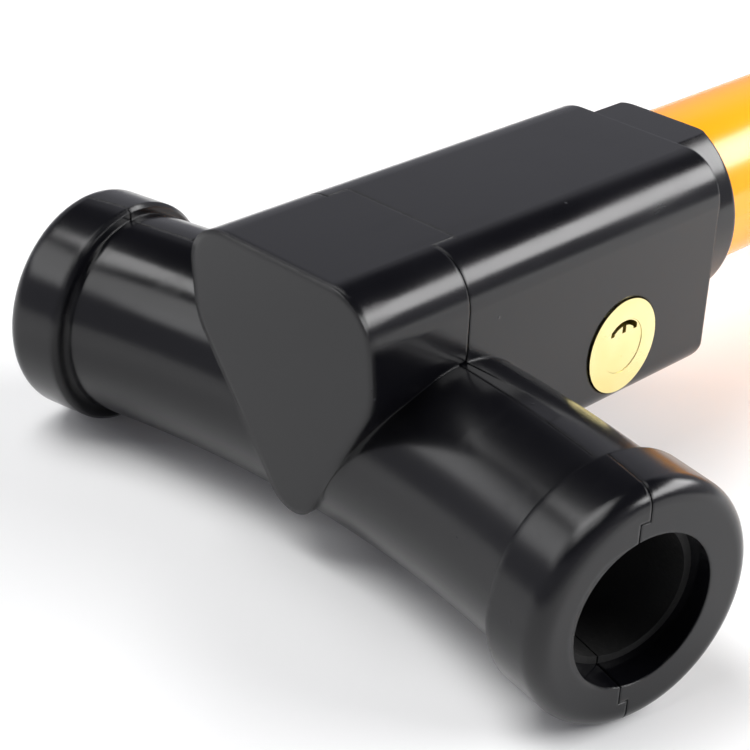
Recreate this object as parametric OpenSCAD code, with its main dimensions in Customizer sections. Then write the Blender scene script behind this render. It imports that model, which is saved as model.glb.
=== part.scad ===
// T-bar lock for a steering wheel.
// Two cast half shells close round the wheel rim.  The front jaw rides on a
// grooved shank that slides in the neck of the rear body.  The key plug turns
// a crank that lifts a bolt into a groove of the shank and so holds the jaws.
// X runs along the rim tube, +Y along the handle, +Z up.
// The origin is the middle of the rim passage.

/* [Rim tube] */
// Outer radius of the tube that closes round the rim
tube_r = 21.5; // [20.5:0.5:23]
// Outer radius of the collar at each end of the tube
collar_r = 24; // [23.5:0.5:28]
// Radius of the passage through both half shells
passage_r = 15; // [13:0.5:15.5]
// Radius of the wheel rim that the tube follows
wheel_r = 260; // [180:5:400]
// Distance between the two ends of the tube, measured along X
tube_span = 154; // [130:1:200]
// Length of each end collar
collar_len = 14; // [8:0.5:20]
// Angle that each end face is turned to the front
end_tilt = 10; // [0:0.5:16]
// Rounding of the outer edge of the collars
collar_round = 3.5; // [1:0.25:4]
// Thickness of the rubber liners in the passage
liner_t = 1.5; // [1:0.25:2.5]
// Distance from a tube end to the end of the liners
liner_inset = 7; // [4:0.5:15]

/* [Parting line] */
// Gap between the closed half shells
parting_gap = 0.3; // [0.2:0.05:0.6]
// Where the seam on the outside of the tube is, measured back from its middle
seam_v = -1; // [-3:0.25:2]
// Depth of the overlapping lip
lip = 2; // [1:0.25:2.5]
// How far the flat of the front block reaches back over the neck
tongue = 5.6; // [3:0.2:7]

/* [Neck and front block] */
// Width of the neck and of the front block
neck_w = 48; // [46:1:56]
// Height of the flat top over the tube's middle
neck_top = 41.5; // [40:0.5:42.5]
// Height of the underside of the neck
neck_bottom = -4.5; // [-8:0.5:-4]
// Height of the axis of the shank and the handle
shank_z = 22.5; // [22.25:0.25:23.25]
// Where the rear end of the neck is
neck_end = 74; // [74:0.5:95]
// Where the side seam of the block is
side_seam = -0.5; // [-3:0.25:1]
// Where the flat front face is
face_y = -24.5; // [-32:0.5:-24]
// Height of the lower tip of the front face
tip_z = -14; // [-17:0.5:-10]
// How far back the tip lies from the face at the shank
tip_back = 4; // [1:0.5:5]
// Rounding of the front face's tip
tip_round = 6.5; // [4:0.5:8]
// Rounding of the upper corners
top_round = 10; // [6:0.5:12]
// Rounding of the lower corners of the neck
neck_round = 5; // [2:0.5:8]

/* [Shank] */
// Radius of the steel shank
shank_r = 6; // [5.5:0.25:6.25]
// Radius at the bottom of its grooves
groove_floor_r = 3.3; // [3:0.1:3.4]
// Distance from one groove to the next
groove_pitch = 9; // [8:0.5:10]
// Number of grooves
groove_count = 5; // [3:1:5]
// Width of one groove
groove_w = 5; // [4.5:0.25:6]

/* [Key cylinder] */
// Distance of the key cylinder's axis behind the origin
key_y = 46; // [45:0.5:52]
// Height of the key cylinder's axis
key_z = 9.2; // [9:0.1:9.6]
// Radius of the brass face
key_face_r = 10.2; // [9:0.1:10.5]
// Radius of the brass body behind the face
key_body_r = 8; // [7.6:0.1:8.5]
// Radius of the plug that the key turns
plug_r = 5.9; // [5.4:0.1:6]
// Distance of the crank pin from the plug's axis
crank_r = 2; // [1.6:0.1:2]
// Radius of the crank pin
crank_pin_r = 1.2; // [1:0.1:1.3]

/* [Bolt] */
// Radius of the bolt's round body
bolt_r = 4.5; // [4.2:0.1:4.6]
// Width of the bolt's nose along the shank
nose_w = 4.2; // [3:0.1:4.2]

/* [Handle] */
// Outer radius of the coloured sleeve
sleeve_r = 18; // [17:0.25:20]
// Outer radius of the steel core tube
core_r = 15; // [14:0.25:15.5]
// Wall of the core tube
core_wall = 2.5; // [1.5:0.25:3]
// Radius of the end collar behind the neck
end_collar_r = 21.7; // [20:0.1:22.5]
// Length of the end collar behind the neck
end_collar_len = 11; // [5:0.5:16]
// Where the rear end of the handle is
handle_end = 432; // [250:1:600]

/* [Fits] */
// Radial clearance of shafts and bolts in their holes
run_fit = 0.05; // [0.02:0.01:0.08]
// Radial clearance of pieces that are seated or screwed in
seat_fit = 0.02; // [0.01:0.01:0.05]
// Gap between faces of pieces that move past each other
face_gap = 0.3; // [0.2:0.05:0.5]

/* [Hidden] */
$fn = 72;

eps = 0.01;
far = 400;

// Rim tube
end_angle = asin((tube_span / 2) / wheel_r);
collar_angle = 180 * collar_len / (PI * wheel_r);
liner_angle = end_angle - 180 * liner_inset / (PI * wheel_r);
lap_r = (tube_r + passage_r) / 2;
half_gap = parting_gap / 2;
side_reach = 45;
part_v = seam_v - lip;
step_edge = 0.8;

// Neck
half_w = neck_w / 2;
flat_half = half_w - top_round;
tongue_t = 6;
side_round = 14;
side_z = tube_r + 2.5;
face_lean = atan(tip_back / (shank_z - tip_z));

// Shank: the first groove stands over the bolt when the jaws are shut
travel = groove_pitch * (groove_count - 1);
shank_front = face_y + 5;
bush_r = shank_r + run_fit + 2;
bore_skin = 1.5;
shank_play = 0.4;
front_bush_y = sqrt(pow(passage_r, 2) - pow(shank_z - bush_r - bore_skin, 2));
front_bush_len = 12;
rear_bush_y = key_y + bolt_r + 2.5;
rear_bush_len = 7;
core_front = rear_bush_y + rear_bush_len;
stop_y = core_front + travel + face_gap;
stop_ring_t = 4;
stop_ring_r = core_r - core_wall - 1;
stop_screw_r = 2.5;
stop_head_r = 4.5;
stop_head_t = 4;
stop_screw_len = 14;
shank_pin_r = 1.75;
shank_pin_ys = [-5, -13];

// Key cylinder, measured along X from the middle of the neck
key_face_x = half_w + 0.4;
key_flange_t = 3;
key_back_x = 9;
clip_t = 0.8;
clip_gap = 0.15;
clip_r = 6.8;
clip_groove_r = 3.8;
tail_r = 4.4;
tail_x = 7.7;
cam_x = 5.3;
cam_r = 5.6;
tail_square = 5.4;
square_x = 6;
cam_bore_r = 7.2;
crank_inner_x = -2.5;
bible_w = 6;
bible_z = -0.6;
bible_floor = 0.4;
pin_r = 1;
pin_pitch = 2.7;
pin_count = 4;
first_pin_x = key_back_x + 2;
pin_top = 4.4;
pin_flat = sqrt(plug_r * plug_r - pin_r * pin_r) - eps;
driver_top = key_z - plug_r - run_fit - 0.05;
driver_len = 1.6;
keyway_r = plug_r - 0.85;
keyway_w = 1.1;
keyway_spread = 94;
keyway_leg_w = 1.1;
keyway_leg_y = 3.5;
keyway_leg_foot = 2.9;

// Bolt: the crank pin goes from 45 degrees below level to 45 degrees above
bolt_lift = 2 * crank_r * sin(45);
slot_z = key_z - crank_r * sin(45);
slot_play = 0.2;
bolt_top = shank_z - shank_r - 0.4;
bolt_body_top = bolt_top - bolt_lift - 0.3;
bolt_bottom = slot_z - crank_pin_r - 1.6;
nose_half = 4;
cover_r = bolt_r + 0.8;
cover_t = 3.2;
cover_sink = 0.2;
cover_top = neck_bottom + cover_sink + cover_t;

// Screws from below
cylinder_screw_r = 1.25;
cylinder_screw_x = 14;
cylinder_screw_y = key_y + max(key_body_r - 1.6, plug_r + 0.25);
cylinder_screw_top = key_z - 3.8;
handle_screw_r = 2;
handle_screw_ys = [core_front + 4, neck_end - 4.5];
handle_screw_top = shank_z - core_r + core_wall - 0.8;
screw_sink = 0.4;

// Handle
sleeve_front = neck_end + end_collar_len;
cap_len = 9;
cap_spigot = 18;
cap_round = 4.4;
sleeve_end = handle_end - cap_len;
end_collar_round = 1.5;

// ---- shared shapes ----

// A bar along the arc of the wheel rim, from a 2-D profile whose x points away
// from the wheel's middle and whose y points up
module along_rim(half_angle) {
    translate([0, -wheel_r, 0]) rotate([0, 0, 90 - half_angle])
        rotate_extrude(angle = 2 * half_angle, $fn = 720)
            translate([wheel_r, 0]) children();
}

// Places children at a tube end: local +Z runs out of the end, local +X points
// away from the wheel's middle
module at_tube_end(side) {
    a = end_angle - collar_angle / 2;
    translate([side * wheel_r * sin(a), wheel_r * (cos(a) - 1), 0])
        rotate([0, 0, 90 - side * end_tilt]) rotate([side * 90, 0, 0])
            translate([0, 0, collar_len / 2]) children();
}

// Turns a 2-D outline in X and Z into a bar from y0 to y1
module bar_y(y0, y1) {
    translate([0, y1, 0]) rotate([90, 0, 0]) linear_extrude(y1 - y0) children();
}

// A round bar along Y about the shank's axis
module rod_y(r, y0, y1) {
    translate([0, y0, shank_z]) rotate([-90, 0, 0]) cylinder(r = r, h = y1 - y0);
}

// A round bar along X about the key's axis
module rod_x(r, x0, x1) {
    translate([x0, key_y, key_z]) rotate([0, 90, 0]) cylinder(r = r, h = x1 - x0);
}

// A round bar along Z
module rod_z(r, x, y, z0, z1) {
    translate([x, y, z0]) cylinder(r = r, h = z1 - z0);
}

// A coil spring along +Z: one closed tube swept round a helix
module coil(coil_r, wire_r, length, turns, steps = 14, sides = 6) {
    count = turns * steps;
    points = [for (i = [0:count], j = [0:sides - 1])
        let (a = 360 * i / steps, b = 360 * j / sides, r = coil_r + wire_r * cos(b))
            [r * cos(a), r * sin(a),
             wire_r + (length - 2 * wire_r) * i / count + wire_r * sin(b)]];
    walls = [for (i = [0:count - 1], j = [0:sides - 1])
        let (k = (j + 1) % sides)
            [i * sides + j, (i + 1) * sides + j, (i + 1) * sides + k, i * sides + k]];
    polyhedron(points, concat(walls, [[for (j = [0:sides - 1]) j]],
        [[for (j = [sides - 1:-1:0]) count * sides + j]]));
}

// A set screw standing at z0 with a hexagon socket in its lower end
module set_screw(r, x, y, z0, z1) {
    difference() {
        rod_z(r, x, y, z0, z1);
        translate([x, y, z0 - eps]) cylinder(r = 0.6 * r, h = 1.2 * r, $fn = 6);
    }
}

// ---- forms of the two castings ----

module collar_form() {
    rotate_extrude() {
        polygon([[0, -collar_len], [collar_r - step_edge, -collar_len],
            [collar_r, -collar_len + step_edge], [collar_r, -collar_round],
            [collar_r - collar_round, 0], [0, 0]]);
        translate([collar_r - collar_round, -collar_round]) circle(r = collar_round);
    }
}

module rim_tube_form() {
    along_rim(end_angle - collar_angle / 2) circle(r = tube_r);
    for (side = [-1, 1]) at_tube_end(side) collar_form();
}

module passage() {
    along_rim(end_angle + 6) circle(r = passage_r);
}

// Cross-section of the neck: a rectangle with rounded corners
module neck_outline() {
    translate([-half_w, neck_bottom + neck_round])
        square([neck_w, neck_top - top_round - neck_bottom - neck_round]);
    translate([-half_w + neck_round, neck_bottom])
        square([neck_w - 2 * neck_round, 2 * neck_round]);
    translate([-flat_half, neck_top - 2 * top_round])
        square([2 * flat_half, 2 * top_round]);
    for (side = [-1, 1]) {
        translate([side * (half_w - neck_round), neck_bottom + neck_round])
            circle(r = neck_round);
        translate([side * flat_half, neck_top - top_round]) circle(r = top_round);
    }
}

// Direction of the tangent points of the line that touches two circles on their
// right, the second dx and dz away and smaller by dr
function tangent_angle(dx, dz, dr) = atan2(dz, dx) + acos(dr / norm([dx, dz]));

// Outline of the front face: the same top, over two straight sides that run in to
// a rounded tip
module shield_outline() {
    side_x = half_w - side_round;
    foot_z = tip_z + tip_round;
    a = tangent_angle(-side_x, foot_z - side_z, side_round - tip_round);
    translate([-half_w, side_z]) square([neck_w, neck_top - top_round - side_z]);
    translate([-flat_half, side_z]) square([2 * flat_half, neck_top - side_z]);
    for (side = [-1, 1]) {
        translate([side * flat_half, neck_top - top_round]) circle(r = top_round);
        translate([side * side_x, side_z]) circle(r = side_round);
        polygon([[0, side_z + 1], [side * side_x, side_z + 1],
            [side * (side_x + side_round * cos(a)), side_z + side_round * sin(a)],
            [side * tip_round * cos(a), foot_z + tip_round * sin(a)], [0, foot_z]]);
    }
    translate([0, foot_z]) circle(r = tip_round);
}

// The neck ends in a rounded lower corner
module neck_form() {
    intersection() {
        bar_y(side_seam - 1, neck_end) neck_outline();
        translate([-far / 2, 0, 0]) rotate([90, 0, 90]) linear_extrude(far) {
            translate([-far, neck_bottom + neck_round]) square([far + neck_end, far]);
            translate([-far, neck_bottom - 1]) square([far + neck_end - neck_round, far]);
            translate([neck_end - neck_round, neck_bottom + neck_round])
                circle(r = neck_round);
        }
    }
}

// The face leans back towards its tip
module block_form() {
    intersection() {
        bar_y(face_y - 2, side_seam + tongue) shield_outline();
        translate([0, face_y, shank_z]) rotate([face_lean, 0, 0])
            translate([-far / 2, 0, -far / 2]) cube(far);
    }
}

// Everything in front of the parting line, grown backwards by c
module front_side(c) {
    // the seam inside the tube follows the rim
    along_rim(60) translate([-side_reach, -side_reach])
        square([side_reach + part_v + c, 3 * side_reach]);
    // the outer half of the wall laps over the rear shell
    for (flip = [0, 1]) mirror([0, 0, flip]) along_rim(60)
        translate([-side_reach, lap_r - c])
            square([side_reach + seam_v + c, 2 * side_reach]);
    // over the tube it is straight across the neck
    translate([-neck_w, face_y - side_reach, tube_r - c])
        cube([2 * neck_w, side_seam - face_y + side_reach + c, neck_top]);
    // and the flat top reaches further back
    translate([-flat_half - c, face_y - side_reach, neck_top - tongue_t - c])
        cube([2 * (flat_half + c), side_seam + tongue - face_y + side_reach + c, neck_top]);
}

// ---- front jaw ----

// Height at which a shank pin starts, just inside the casting over the passage
function shank_pin_foot(y) =
    sqrt(pow(passage_r, 2) - pow(-y - shank_pin_r, 2)) + 0.3;

module shank_pin(y, extra) {
    rod_z(shank_pin_r + extra, 0, y, shank_pin_foot(y) - 20 * extra,
        shank_z + 0.65 * shank_r + extra);
}

module front_jaw() {
    color("#1c1c20") difference() {
        intersection() {
            union() {
                rim_tube_form();
                block_form();
            }
            front_side(-half_gap);
        }
        passage();
        rod_y(shank_r + seat_fit, shank_front, far / 2);
        for (y = shank_pin_ys) shank_pin(y, seat_fit);
    }
}

module front_liner() {
    color("#0d0d0e") along_rim(liner_angle) difference() {
        circle(r = passage_r - seat_fit);
        circle(r = passage_r - liner_t);
        translate([part_v - half_gap, -far / 2]) square(far);
    }
}

module jaw_shank() {
    color("#b9bcc0") difference() {
        rod_y(shank_r, shank_front + seat_fit, stop_y);
        for (i = [0:groove_count - 1]) difference() {
            rod_y(shank_r + 1, key_y + i * groove_pitch - groove_w / 2,
                key_y + i * groove_pitch + groove_w / 2);
            rod_y(groove_floor_r, key_y + i * groove_pitch - groove_w,
                key_y + i * groove_pitch + groove_w);
        }
        for (y = shank_pin_ys) shank_pin(y, seat_fit);
        rod_y(stop_screw_r + seat_fit, stop_y - stop_screw_len - 1, stop_y + 1);
    }
}

module shank_pins() {
    color("#8f9296") for (y = shank_pin_ys) shank_pin(y, 0);
}

module stop_ring() {
    color("#9a9da1") difference() {
        rod_y(stop_ring_r, stop_y + seat_fit, stop_y + stop_ring_t);
        rod_y(stop_screw_r + seat_fit, stop_y - 1, stop_y + stop_ring_t + 1);
    }
}

module stop_screw() {
    color("#6f7276") difference() {
        union() {
            rod_y(stop_screw_r, stop_y - stop_screw_len, stop_y + stop_ring_t + 1);
            rod_y(stop_head_r, stop_y + stop_ring_t + seat_fit,
                stop_y + stop_ring_t + stop_head_t);
        }
        translate([0, stop_y + stop_ring_t + stop_head_t / 2, shank_z])
            rotate([-90, 0, 0]) cylinder(r = 0.5 * stop_head_r, h = stop_head_t, $fn = 6);
    }
}

// ---- rear body ----

module key_cylinder_cavity() {
    rod_x(key_face_r + face_gap, key_face_x - key_flange_t - seat_fit, far / 2);
    rod_x(key_body_r + seat_fit, key_back_x - seat_fit, far / 2);
    rod_x(cam_bore_r, cam_x - face_gap, key_back_x);
    rod_x(crank_r + crank_pin_r + 0.5, 0, key_back_x);
    translate([key_back_x - seat_fit, key_y - bible_w / 2 - seat_fit, bible_z - seat_fit])
        cube([half_w - key_back_x, bible_w + 2 * seat_fit, key_z - bible_z]);
}

module rear_body() {
    color("#1c1c20") difference() {
        union() {
            rim_tube_form();
            neck_form();
        }
        front_side(half_gap);
        passage();
        rod_y(shank_r + shank_play, -far / 4, core_front + 1);
        rod_y(bush_r + seat_fit, front_bush_y, front_bush_y + front_bush_len);
        rod_y(bush_r + seat_fit, rear_bush_y, core_front + 1);
        rod_y(core_r + seat_fit, core_front, far);
        key_cylinder_cavity();
        rod_z(bolt_r + run_fit, 0, key_y, neck_bottom - 1, shank_z);
        rod_z(cover_r + seat_fit, 0, key_y, neck_bottom - 1, cover_top);
        rod_z(cylinder_screw_r + seat_fit, cylinder_screw_x, cylinder_screw_y,
            neck_bottom - 1, cylinder_screw_top + seat_fit);
        for (y = handle_screw_ys)
            rod_z(handle_screw_r + seat_fit, 0, y, neck_bottom - 1, shank_z - core_r + 1);
    }
}

module rear_liner() {
    color("#0d0d0e") along_rim(liner_angle) difference() {
        circle(r = passage_r - seat_fit);
        circle(r = passage_r - liner_t);
        translate([part_v + half_gap - far, -far / 2]) square(far);
    }
}

module shank_bush(y0, y1) {
    color("#b08d4f") difference() {
        rod_y(bush_r, y0, y1);
        rod_y(shank_r + run_fit, y0 - 1, y1 + 1);
    }
}

module front_bush() {
    shank_bush(front_bush_y + seat_fit, front_bush_y + front_bush_len - seat_fit);
}

module rear_bush() {
    shank_bush(rear_bush_y + seat_fit, core_front - seat_fit);
}

// ---- bolt ----

module locking_bolt() {
    color("#c3c6c9") difference() {
        union() {
            rod_z(bolt_r, 0, key_y, bolt_bottom, bolt_body_top);
            translate([-nose_half, key_y - nose_w / 2, bolt_body_top - eps])
                cube([2 * nose_half - 1, nose_w, bolt_top - bolt_body_top + eps]);
        }
        // the crank pin slides to and fro in this slot while it lifts the bolt
        translate([crank_inner_x - 1, key_y + crank_r * cos(45) - crank_pin_r - slot_play,
            slot_z - crank_pin_r - slot_play])
            cube([2 * bolt_r, crank_r * (1 - cos(45)) + 2 * (crank_pin_r + slot_play),
                2 * (crank_pin_r + slot_play)]);
    }
}

module bolt_spring() {
    color("#a7aaae") translate([0, key_y, cover_top + 0.05])
        coil(3.4, 0.45, bolt_bottom - cover_top - 0.1, 3.5);
}

module bolt_cover() {
    color("#2a2a2d") difference() {
        rod_z(cover_r, 0, key_y, cover_top - cover_t, cover_top);
        translate([-cover_r, key_y - 0.6, cover_top - cover_t - 1])
            cube([2 * cover_r, 1.2, 2.2]);
    }
}

// ---- key cylinder ----

function pin_x(i) = first_pin_x + i * pin_pitch;

module lock_cylinder() {
    color("#e3cf7a") difference() {
        union() {
            rod_x(key_face_r, key_face_x - key_flange_t, key_face_x);
            rod_x(key_body_r, key_back_x, key_face_x - key_flange_t + eps);
            translate([key_back_x, key_y - bible_w / 2, bible_z])
                cube([key_face_x - key_flange_t - key_back_x + eps, bible_w,
                    key_z - bible_z]);
        }
        rod_x(plug_r + run_fit, key_back_x - 1, key_face_x + 1);
        for (i = [0:pin_count - 1])
            rod_z(pin_r + run_fit, pin_x(i), key_y, bible_z + bible_floor, key_z);
        rod_z(cylinder_screw_r + seat_fit, cylinder_screw_x, cylinder_screw_y,
            bible_z - 1, cylinder_screw_top + seat_fit);
    }
}

// The crescent of the keyway, with three short legs standing side by side
module keyway() {
    depth = key_face_x - key_back_x;
    translate([key_back_x + 1, key_y, key_z]) rotate([90, 0, 90]) {
        rotate([0, 0, 90 - keyway_spread / 2]) rotate_extrude(angle = keyway_spread)
            translate([keyway_r - keyway_w / 2, 0]) square([keyway_w, depth]);
        for (y = [-keyway_leg_y, 0, keyway_leg_y])
            translate([y - keyway_leg_w / 2, keyway_leg_foot, 0])
                cube([keyway_leg_w, sqrt(keyway_r * keyway_r - y * y) - keyway_leg_foot,
                    depth]);
    }
}

module key_plug() {
    color("#dcc66c") difference() {
        union() {
            rod_x(plug_r, key_back_x, key_face_x - 0.1);
            rod_x(tail_r, tail_x, key_back_x + eps);
            translate([square_x + seat_fit, key_y - tail_square / 2, key_z - tail_square / 2])
                cube([tail_x - square_x, tail_square, tail_square]);
        }
        keyway();
        difference() {
            rod_x(tail_r + 1, key_back_x - clip_gap - clip_t - seat_fit, key_back_x - clip_gap);
            rod_x(clip_groove_r, tail_x, key_back_x);
        }
        for (i = [0:pin_count - 1])
            rod_z(pin_r + run_fit, pin_x(i), key_y, key_z - plug_r - 1, key_z + pin_top + 0.05);
    }
}

module key_pins() {
    color("#b5652c") for (i = [0:pin_count - 1])
        rod_z(pin_r, pin_x(i), key_y, key_z - pin_flat, key_z + pin_top);
}

module driver_pins() {
    color("#b5652c") for (i = [0:pin_count - 1])
        rod_z(pin_r, pin_x(i), key_y, driver_top - driver_len, driver_top);
}

module pin_springs() {
    foot = bible_z + bible_floor;
    color("#a7aaae") for (i = [0:pin_count - 1])
        translate([pin_x(i), key_y, foot + 0.02])
            coil(0.72, 0.18, driver_top - driver_len - foot - 0.04, 4, 10, 5);
}

// A spring clip in the groove of the plug's tail, open at the bottom
module plug_clip() {
    x0 = key_back_x - clip_gap - clip_t;
    color("#8f9296") difference() {
        rod_x(clip_r, x0, x0 + clip_t - seat_fit);
        rod_x(clip_groove_r + seat_fit, x0 - 1, x0 + 2);
        translate([x0 - 1, key_y - clip_groove_r + 0.4, key_z - 2 * clip_r])
            cube([3, 2 * clip_groove_r - 0.8, 2 * clip_r]);
    }
}

// Disc on the square of the plug's tail, with the crank pin that works the bolt
module plug_cam() {
    color("#a9acb0") difference() {
        union() {
            rod_x(cam_r, cam_x, tail_x - seat_fit);
            translate([0, crank_r * cos(45), -crank_r * sin(45)])
                rod_x(crank_pin_r, crank_inner_x, cam_x + eps);
        }
        translate([square_x, key_y - tail_square / 2 - seat_fit,
            key_z - tail_square / 2 - seat_fit])
            cube([tail_x, tail_square + 2 * seat_fit, tail_square + 2 * seat_fit]);
    }
}

module cylinder_screw() {
    color("#6f7276") set_screw(cylinder_screw_r, cylinder_screw_x, cylinder_screw_y,
        neck_bottom + screw_sink, cylinder_screw_top);
}

// ---- handle ----

module end_collar() {
    color("#1c1c20") intersection() {
        difference() {
            translate([0, neck_end + seat_fit, shank_z]) rotate([-90, 0, 0])
                rotate_extrude() {
                    polygon([[0, 0], [end_collar_r, 0],
                        [end_collar_r, end_collar_len - end_collar_round],
                        [end_collar_r - end_collar_round, end_collar_len - seat_fit],
                        [0, end_collar_len - seat_fit]]);
                    translate([end_collar_r - end_collar_round,
                        end_collar_len - end_collar_round - seat_fit])
                        circle(r = end_collar_round);
                }
            rod_y(core_r + seat_fit, neck_end - 1, sleeve_front + 1);
        }
        translate([-far / 2, 0, neck_top - 0.4 - far]) cube(far);
    }
}

module core_tube() {
    color("#8d9094") difference() {
        rod_y(core_r, core_front + seat_fit, sleeve_end);
        rod_y(core_r - core_wall, core_front - 1, sleeve_end + 1);
        for (y = handle_screw_ys)
            rod_z(handle_screw_r + seat_fit, 0, y, 0, shank_z - core_r + core_wall + 2);
    }
}

module handle_screws() {
    color("#6f7276") for (y = handle_screw_ys)
        set_screw(handle_screw_r, 0, y, neck_bottom + screw_sink, handle_screw_top);
}

module handle_sleeve() {
    color("#ffc21a") difference() {
        rod_y(sleeve_r, sleeve_front + seat_fit, sleeve_end - seat_fit);
        rod_y(core_r + seat_fit, sleeve_front - 1, sleeve_end + 1);
    }
}

module end_cap() {
    color("#17171a") translate([0, sleeve_end, shank_z]) rotate([-90, 0, 0])
        rotate_extrude() {
            polygon([[0, -cap_spigot], [core_r - core_wall - seat_fit, -cap_spigot],
                [core_r - core_wall - seat_fit, seat_fit], [sleeve_r, seat_fit],
                [sleeve_r, cap_len - cap_round], [sleeve_r - cap_round, cap_len],
                [0, cap_len]]);
            translate([sleeve_r - cap_round, cap_len - cap_round]) circle(r = cap_round);
        }
}

front_jaw();
front_liner();
jaw_shank();
shank_pins();
stop_ring();
stop_screw();
rear_body();
rear_liner();
front_bush();
rear_bush();
locking_bolt();
bolt_spring();
bolt_cover();
lock_cylinder();
key_plug();
key_pins();
driver_pins();
pin_springs();
plug_clip();
plug_cam();
cylinder_screw();
end_collar();
core_tube();
handle_screws();
handle_sleeve();
end_cap();
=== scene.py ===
"""Looks for the T-bar lock: a finish for every piece, soft studio light and a pale
floor."""

import math

import bpy
from mathutils import Matrix, Vector


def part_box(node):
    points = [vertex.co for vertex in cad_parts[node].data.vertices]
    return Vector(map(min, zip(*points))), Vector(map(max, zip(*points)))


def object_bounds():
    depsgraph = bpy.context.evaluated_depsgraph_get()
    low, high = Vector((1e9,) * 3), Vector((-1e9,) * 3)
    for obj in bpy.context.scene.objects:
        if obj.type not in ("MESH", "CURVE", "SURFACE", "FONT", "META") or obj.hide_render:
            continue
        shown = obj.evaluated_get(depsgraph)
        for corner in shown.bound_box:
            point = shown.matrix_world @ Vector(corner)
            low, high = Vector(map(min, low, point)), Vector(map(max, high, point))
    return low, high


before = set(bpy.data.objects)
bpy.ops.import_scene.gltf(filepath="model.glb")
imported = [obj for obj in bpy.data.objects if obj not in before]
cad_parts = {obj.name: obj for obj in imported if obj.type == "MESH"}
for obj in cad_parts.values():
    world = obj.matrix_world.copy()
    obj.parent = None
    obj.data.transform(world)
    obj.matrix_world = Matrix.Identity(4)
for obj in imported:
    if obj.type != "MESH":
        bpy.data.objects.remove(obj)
cad_low, cad_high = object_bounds()

MM = 0.001

# How far the shading rounds the edges of the castings, and over which depth behind
# the shield face the rounder edge dies away
EDGE_R = 0.7 * MM
SHIELD_EDGE_R = 2.2 * MM
JAW_EDGE_R = 0.6 * MM
ROUND_TO = 2.5 * MM
FADED_AT = 8 * MM

# Studio: the floor lies just under the lock, the lamps look at the neck's front, and
# the world goes from bright to dark between two heights above the horizon
FLOOR_GAP = 0.2 * MM
FLOOR_HALF = 6.0
LAMP_AIM = (0, 0.02, 0.01)
BRIGHT_UP_TO = 0.50
DARK_FROM = 0.62


# ---- node helpers ----

def add(tree, kind, **sockets):
    """A new node with its input sockets set by name; a linked value is a socket."""
    node = tree.nodes.new(kind)
    for name, value in sockets.items():
        put(tree, node.inputs[name.replace("_", " ")], value)
    return node


def put(tree, socket, value):
    if isinstance(value, bpy.types.NodeSocket):
        tree.links.new(value, socket)
    else:
        socket.default_value = value


def link(tree, value, socket):
    tree.links.new(value, socket)


def calc(tree, how, *values):
    """A Math node's result."""
    node = tree.nodes.new("ShaderNodeMath")
    node.operation = how
    for socket, value in zip(node.inputs, values):
        put(tree, socket, value)
    return node.outputs[0]


def ramp(tree, value, low, high, low_out=0.0, high_out=1.0):
    """value carried from low..high to low_out..high_out, held at both ends."""
    node = add(tree, "ShaderNodeMapRange", Value=value)
    for socket, number in zip(list(node.inputs)[1:5], (low, high, low_out, high_out)):
        socket.default_value = number
    return node.outputs["Result"]


def blend_colour(tree, amount, first, second):
    """Mixes two colours by amount."""
    node = tree.nodes.new("ShaderNodeMix")
    node.data_type = "RGBA"
    put(tree, node.inputs[0], amount)
    put(tree, node.inputs[6], first)
    put(tree, node.inputs[7], second)
    return node.outputs[2]


def noise(tree, where, scale, detail=3.0, rough=0.5):
    return add(tree, "ShaderNodeTexNoise", Vector=where, Scale=scale, Detail=detail,
               Roughness=rough).outputs["Fac"]


def new_group(name, inputs, outputs):
    """A shader node group with float inputs and the outputs given as (name, type)."""
    group = bpy.data.node_groups.new(name, "ShaderNodeTree")
    for label, value in inputs:
        socket = group.interface.new_socket(label, in_out="INPUT",
                                            socket_type="NodeSocketFloat")
        socket.default_value = value
    for label, kind in outputs:
        group.interface.new_socket(label, in_out="OUTPUT", socket_type=kind)
    start = group.nodes.new("NodeGroupInput")
    end = group.nodes.new("NodeGroupOutput")
    return group, start, end


# ---- effects that several finishes share ----

def coating_group():
    """Baked coating on a casting: soft orange peel, a few grains of dust under the
    skin, and a slow drift in gloss."""
    group, start, end = new_group(
        "coated_casting", [("Peel", 0.3), ("Grains", 1.0)],
        [("Height", "NodeSocketFloat"), ("Dust", "NodeSocketFloat"),
         ("Drift", "NodeSocketFloat")])
    here = group.nodes.new("ShaderNodeTexCoord").outputs["Object"]
    peel = noise(group, here, 420.0, 2.0)
    waves = noise(group, here, 90.0, 2.0)
    cells = add(group, "ShaderNodeTexVoronoi", Vector=here, Scale=210.0)
    few = noise(group, here, 75.0, 1.0)
    grain = calc(group, "MULTIPLY", ramp(group, cells.outputs["Distance"], 0.10, 0.04),
                 ramp(group, few, 0.60, 0.64))
    grain = calc(group, "MULTIPLY", grain, start.outputs["Grains"])
    height = calc(group, "MULTIPLY", calc(group, "ADD", calc(group, "MULTIPLY", peel, 0.35),
                                          waves), start.outputs["Peel"])
    height = calc(group, "ADD", height, calc(group, "MULTIPLY", grain, 0.9))
    group.links.new(height, end.inputs["Height"])
    group.links.new(grain, end.inputs["Dust"])
    group.links.new(noise(group, here, 28.0, 3.0), end.inputs["Drift"])
    return group


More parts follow.
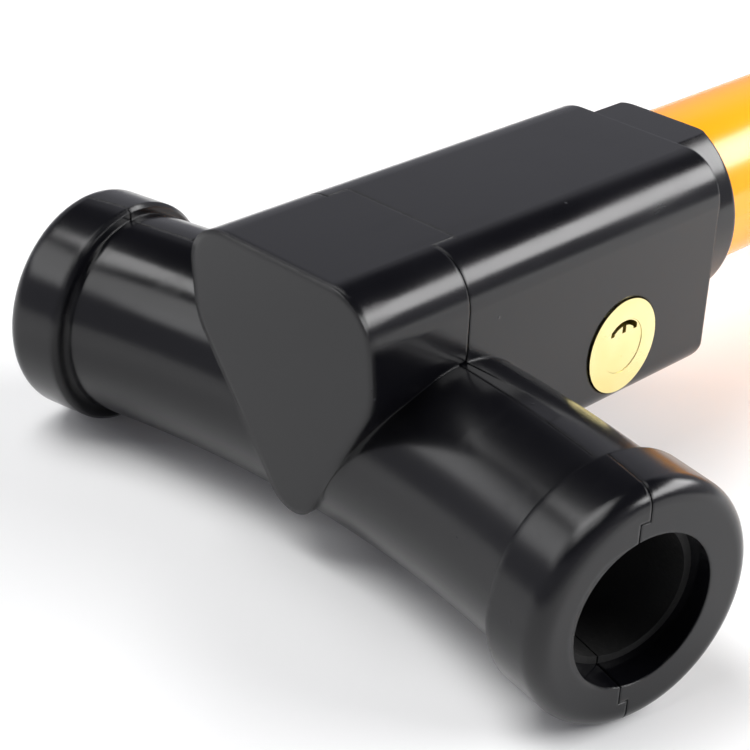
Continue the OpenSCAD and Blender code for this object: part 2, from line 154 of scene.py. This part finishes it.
def wear_group():
    """Scuffs and smudges: thin streaks where stretched noise is high, and cloudy
    patches, both as masks."""
    group, start, end = new_group(
        "scuffs_and_smudges", [("Scale", 60.0), ("Stretch", 8.0)],
        [("Scuffs", "NodeSocketFloat"), ("Smudges", "NodeSocketFloat")])
    here = group.nodes.new("ShaderNodeTexCoord").outputs["Object"]
    axes = add(group, "ShaderNodeSeparateXYZ", Vector=here)
    squeezed = add(group, "ShaderNodeCombineXYZ",
                   X=calc(group, "MULTIPLY", axes.outputs["X"], start.outputs["Stretch"]),
                   Y=axes.outputs["Y"],
                   Z=calc(group, "MULTIPLY", axes.outputs["Z"], start.outputs["Stretch"]))
    streak = noise(group, squeezed.outputs[0], start.outputs["Scale"], 5.0, 0.62)
    cloud = noise(group, here, calc(group, "MULTIPLY", start.outputs["Scale"], 0.6), 3.0)
    group.links.new(ramp(group, streak, 0.56, 0.72), end.inputs["Scuffs"])
    group.links.new(ramp(group, cloud, 0.42, 0.66), end.inputs["Smudges"])
    return group


def turned_group():
    """Fine rings left by a lathe: a wave of the distance from an axis along X or Y
    that goes through Across and Up."""
    group, start, end = new_group(
        "turned_rings", [("Across", 0.0), ("Up", 0.0), ("Pitch", 0.0003)],
        [("Along X", "NodeSocketFloat"), ("Along Y", "NodeSocketFloat")])
    here = group.nodes.new("ShaderNodeTexCoord").outputs["Object"]
    axes = add(group, "ShaderNodeSeparateXYZ", Vector=here)
    up = calc(group, "SUBTRACT", axes.outputs["Z"], start.outputs["Up"])
    jitter = noise(group, here, 300.0, 2.0)
    for label, side in (("Along X", "Y"), ("Along Y", "X")):
        across = calc(group, "SUBTRACT", axes.outputs[side], start.outputs["Across"])
        reach = calc(group, "SQRT", calc(group, "ADD", calc(group, "MULTIPLY", across, across),
                                         calc(group, "MULTIPLY", up, up)))
        turn = calc(group, "DIVIDE", reach, start.outputs["Pitch"])
        wave = calc(group, "SINE", calc(group, "MULTIPLY", turn, 2 * math.pi))
        group.links.new(calc(group, "ADD", wave, jitter), end.inputs[label])
    return group


COATING, WEAR, TURNED = coating_group(), wear_group(), turned_group()


def effect(tree, group, **values):
    node = tree.nodes.new("ShaderNodeGroup")
    node.node_tree = group
    for name, value in values.items():
        put(tree, node.inputs[name], value)
    return node.outputs


def finish_base(name):
    """An empty material: its node tree and its Principled shader."""
    material = bpy.data.materials.new(name)
    material.use_nodes = True
    tree = material.node_tree
    return material, tree, tree.nodes["Principled BSDF"]


def bump(tree, shader, height, depth, strength=1.0, normal=None):
    node = add(tree, "ShaderNodeBump", Strength=strength, Distance=depth, Height=height)
    if normal is not None:
        tree.links.new(normal, node.inputs["Normal"])
    tree.links.new(node.outputs[0], shader.inputs["Normal"])


# ---- finishes ----

def black_coating(name, face_y=None):
    """Satin black coating.  Edges catch the light as small roundings do; near the
    front face they are rounder."""
    material, tree, shader = finish_base(name)
    skin = effect(tree, COATING, Peel=0.22, Grains=1.0)
    marks = effect(tree, WEAR, Scale=42.0, Stretch=5.0)
    dark = blend_colour(tree, skin["Drift"], (0.0025, 0.0025, 0.0035, 1),
                        (0.0045, 0.0045, 0.006, 1))
    colour = blend_colour(tree, calc(tree, "MULTIPLY", skin["Dust"], 0.5), dark,
                          (0.05, 0.05, 0.055, 1))
    link(tree, colour, shader.inputs["Base Color"])
    gloss = calc(tree, "ADD", ramp(tree, skin["Drift"], 0.3, 0.7, 0.13, 0.19),
                 calc(tree, "MULTIPLY", marks["Smudges"], 0.05))
    link(tree, calc(tree, "ADD", gloss, calc(tree, "MULTIPLY", marks["Scuffs"], 0.05)),
         shader.inputs["Roughness"])
    shader.inputs["IOR"].default_value = 1.42
    rounding = add(tree, "ShaderNodeBevel", Radius=EDGE_R)
    rounding.samples = 4
    if face_y is not None:
        where = add(tree, "ShaderNodeSeparateXYZ",
                    Vector=tree.nodes.new("ShaderNodeTexCoord").outputs["Object"])
        near = ramp(tree, where.outputs["Y"], face_y + ROUND_TO, face_y + FADED_AT,
                    SHIELD_EDGE_R, JAW_EDGE_R)
        link(tree, near, rounding.inputs["Radius"])
    bump(tree, shader, skin["Height"], 0.00012, 0.5, rounding.outputs[0])
    return material


def rubber(name):
    """Moulded rubber with a grained skin and rubbed patches."""
    material, tree, shader = finish_base(name)
    here = tree.nodes.new("ShaderNodeTexCoord").outputs["Object"]
    marks = effect(tree, WEAR, Scale=55.0, Stretch=3.0)
    link(tree, blend_colour(tree, marks["Smudges"], (0.010, 0.010, 0.010, 1),
                            (0.030, 0.029, 0.028, 1)), shader.inputs["Base Color"])
    link(tree, ramp(tree, marks["Scuffs"], 0, 1, 0.62, 0.48), shader.inputs["Roughness"])
    bump(tree, shader, noise(tree, here, 900.0, 4.0), 0.0002, 0.8)
    return material


def metal(name, low, high, rough, across=0.0, up=0.0, along="Along Y", pitch=0.0004,
          depth=0.00001, scale=70.0):
    """Bare metal, turned or drawn: the colour drifts between two tones, with tool
    rings about its axis and light scuffs."""
    material, tree, shader = finish_base(name)
    marks = effect(tree, WEAR, Scale=scale, Stretch=6.0)
    rings = effect(tree, TURNED, Across=across, Up=up, Pitch=pitch)[along]
    link(tree, blend_colour(tree, marks["Smudges"], low, high), shader.inputs["Base Color"])
    link(tree, calc(tree, "ADD", ramp(tree, marks["Smudges"], 0, 1, rough, rough + 0.09),
                    calc(tree, "MULTIPLY", marks["Scuffs"], 0.08)), shader.inputs["Roughness"])
    shader.inputs["Metallic"].default_value = 1.0
    bump(tree, shader, rings, depth, 0.6)
    return material


def yellow_sleeve(name):
    """Glossy orange-yellow sleeve with a faint moulded ripple and handling smudges."""
    material, tree, shader = finish_base(name)
    skin = effect(tree, COATING, Peel=0.18, Grains=0.3)
    marks = effect(tree, WEAR, Scale=34.0, Stretch=0.4)
    base = blend_colour(tree, skin["Drift"], (1.0, 0.36, 0.004, 1), (1.0, 0.41, 0.006, 1))
    link(tree, blend_colour(tree, calc(tree, "MULTIPLY", marks["Smudges"], 0.25), base,
                            (0.95, 0.32, 0.003, 1)), shader.inputs["Base Color"])
    link(tree, calc(tree, "ADD", ramp(tree, skin["Drift"], 0.3, 0.7, 0.20, 0.27),
                    calc(tree, "MULTIPLY", marks["Scuffs"], 0.10)), shader.inputs["Roughness"])
    shader.inputs["Coat Weight"].default_value = 0.12
    shader.inputs["Coat Roughness"].default_value = 0.08
    bump(tree, shader, skin["Height"], 0.00010, 0.4)
    return material


def black_plastic(name):
    """Moulded black plastic with a fine spark-eroded grain."""
    material, tree, shader = finish_base(name)
    here = tree.nodes.new("ShaderNodeTexCoord").outputs["Object"]
    marks = effect(tree, WEAR, Scale=50.0, Stretch=2.0)
    link(tree, blend_colour(tree, marks["Smudges"], (0.012, 0.012, 0.013, 1),
                            (0.024, 0.024, 0.026, 1)), shader.inputs["Base Color"])
    link(tree, ramp(tree, marks["Scuffs"], 0, 1, 0.42, 0.34), shader.inputs["Roughness"])
    bump(tree, shader, noise(tree, here, 1400.0, 3.0), 0.00015, 0.7)
    return material


def middle(node):
    low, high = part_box(node)
    return [(a + b) / 2 for a, b in zip(low, high)]


_, KEY_Y, KEY_Z = middle("key_plug")
SHANK_Z = middle("handle_sleeve")[2]
FACE_Y = -24.5 * MM  # the shield face; the tube ends reach further forward

BLACK = black_coating("satin_black_coating")
BLACK_JAW = black_coating("satin_black_coating_front", FACE_Y)
RUBBER = rubber("moulded_rubber")
SHANK = metal("turned_shank_steel", (0.55, 0.56, 0.58, 1), (0.68, 0.68, 0.69, 1), 0.16,
              up=SHANK_Z)
SCREW = metal("dark_screw_steel", (0.10, 0.10, 0.105, 1), (0.20, 0.20, 0.205, 1), 0.34)
BRONZE = metal("bearing_bronze", (0.50, 0.34, 0.14, 1), (0.62, 0.44, 0.20, 1), 0.30,
               up=SHANK_Z)
BRASS = metal("pale_brass", (0.80, 0.69, 0.30, 1), (0.92, 0.82, 0.44, 1), 0.20,
              across=KEY_Y, up=KEY_Z, along="Along X", pitch=0.00028, depth=0.000012)
COPPER = metal("tumbler_copper", (0.55, 0.20, 0.08, 1), (0.70, 0.30, 0.12, 1), 0.25)
WIRE = metal("spring_wire", (0.42, 0.42, 0.44, 1), (0.55, 0.55, 0.57, 1), 0.24)
YELLOW = yellow_sleeve("orange_yellow_sleeve")
PLASTIC = black_plastic("grained_black_plastic")

FINISHES = {
    "front_jaw": BLACK_JAW, "rear_body": BLACK, "end_collar": BLACK,
    "front_liner": RUBBER, "rear_liner": RUBBER,
    "jaw_shank": SHANK, "stop_ring": SHANK, "locking_bolt": SHANK, "plug_cam": SHANK,
    "core_tube": SHANK,
    "shank_pins": SCREW, "stop_screw": SCREW, "cylinder_screw": SCREW,
    "handle_screws": SCREW, "bolt_cover": SCREW,
    "front_bush": BRONZE, "rear_bush": BRONZE,
    "lock_cylinder": BRASS, "key_plug": BRASS,
    "key_pins": COPPER, "driver_pins": COPPER,
    "bolt_spring": WIRE, "pin_springs": WIRE, "plug_clip": WIRE,
    "handle_sleeve": YELLOW, "end_cap": PLASTIC,
}
for node, material in FINISHES.items():
    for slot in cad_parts[node].material_slots:
        slot.material = material


# ---- floor, light and camera ----

def pale_floor(level):
    """A flat sheet under the lock, far larger than the view."""
    side = FLOOR_HALF
    mesh = bpy.data.meshes.new("floor")
    mesh.from_pydata([(-side, -side, level), (side, -side, level), (side, side, level),
                      (-side, side, level)], [], [(0, 1, 2, 3)])
    floor = bpy.data.objects.new("floor", mesh)
    bpy.context.scene.collection.objects.link(floor)
    material, tree, shader = finish_base("pale_floor")
    here = tree.nodes.new("ShaderNodeTexCoord").outputs["Object"]
    link(tree, blend_colour(tree, noise(tree, here, 3.0, 2.0), (0.93, 0.93, 0.93, 1),
                            (0.95, 0.95, 0.945, 1)), shader.inputs["Base Color"])
    shader.inputs["Roughness"].default_value = 0.75
    shader.inputs["Specular IOR Level"].default_value = 0.2
    mesh.materials.append(material)


def softbox(name, direction, distance, width, height, watts):
    """A rectangular lamp that looks at the lock from the given direction."""
    lamp = bpy.data.lights.new(name, "AREA")
    lamp.shape = "RECTANGLE"
    lamp.size, lamp.size_y = width, height
    lamp.energy = watts
    holder = bpy.data.objects.new(name, lamp)
    aim = Vector(direction).normalized()
    holder.location = Vector(LAMP_AIM) + aim * distance
    holder.rotation_euler = aim.to_track_quat("Z", "Y").to_euler()
    bpy.context.scene.collection.objects.link(holder)


def studio_world():
    """Bright near the horizon and dark overhead, so flat tops look grey and the
    tube's crest looks black."""
    world = bpy.data.worlds.new("studio")
    world.use_nodes = True
    tree = world.node_tree
    shader = tree.nodes["Background"]
    up = add(tree, "ShaderNodeSeparateXYZ",
             Vector=tree.nodes.new("ShaderNodeTexCoord").outputs["Generated"]).outputs["Z"]
    tone = ramp(tree, up, BRIGHT_UP_TO, DARK_FROM, 1.0, 0.0)
    link(tree, blend_colour(tree, tone, (0.03, 0.03, 0.035, 1), (0.44, 0.44, 0.48, 1)),
         shader.inputs["Color"])
    shader.inputs["Strength"].default_value = 1.0
    bpy.context.scene.world = world


def look_from(azimuth, elevation, roll, distance, right_mm, up_mm, lens):
    """A camera that looks at the origin from in front (azimuth 0) or the right side
    (90), moved sideways and upwards in its own plane."""
    az, el, ro = (math.radians(a) for a in (azimuth, elevation, roll))
    ahead = Vector((-math.sin(az) * math.cos(el), math.cos(az) * math.cos(el), -math.sin(el)))
    right = Vector((math.cos(az), math.sin(az), 0))
    up = right.cross(ahead)
    right, up = (right * math.cos(ro) + up * math.sin(ro),
                 up * math.cos(ro) - right * math.sin(ro))
    data = bpy.data.cameras.new("camera")
    data.lens, data.sensor_width = lens, 36.0
    data.clip_start, data.clip_end = 0.01, 50.0
    camera = bpy.data.objects.new("camera", data)
    place = right * right_mm * MM + up * up_mm * MM - ahead * distance * MM
    turn = Matrix((right, up, -ahead)).transposed().to_4x4()
    camera.matrix_world = Matrix.Translation(place) @ turn
    bpy.context.scene.collection.objects.link(camera)
    bpy.context.scene.camera = camera


look_from(azimuth=44.1, elevation=28.8, roll=2.8, distance=386.6, right_mm=0.68,
          up_mm=7.53, lens=95.1)
pale_floor(cad_low[2] - FLOOR_GAP)
studio_world()
softbox("shoulder_box", (0.58, 0.63, 0.52), 1.0, 1.1, 0.34, 12.0)
softbox("front_left_box", (-0.61, -0.59, 0.56), 1.0, 0.5, 0.36, 1.6)
softbox("overhead", (-0.30, -0.28, 1.0), 1.4, 0.9, 0.9, 16.0)
bpy.context.scene.view_settings.view_transform = "Standard"
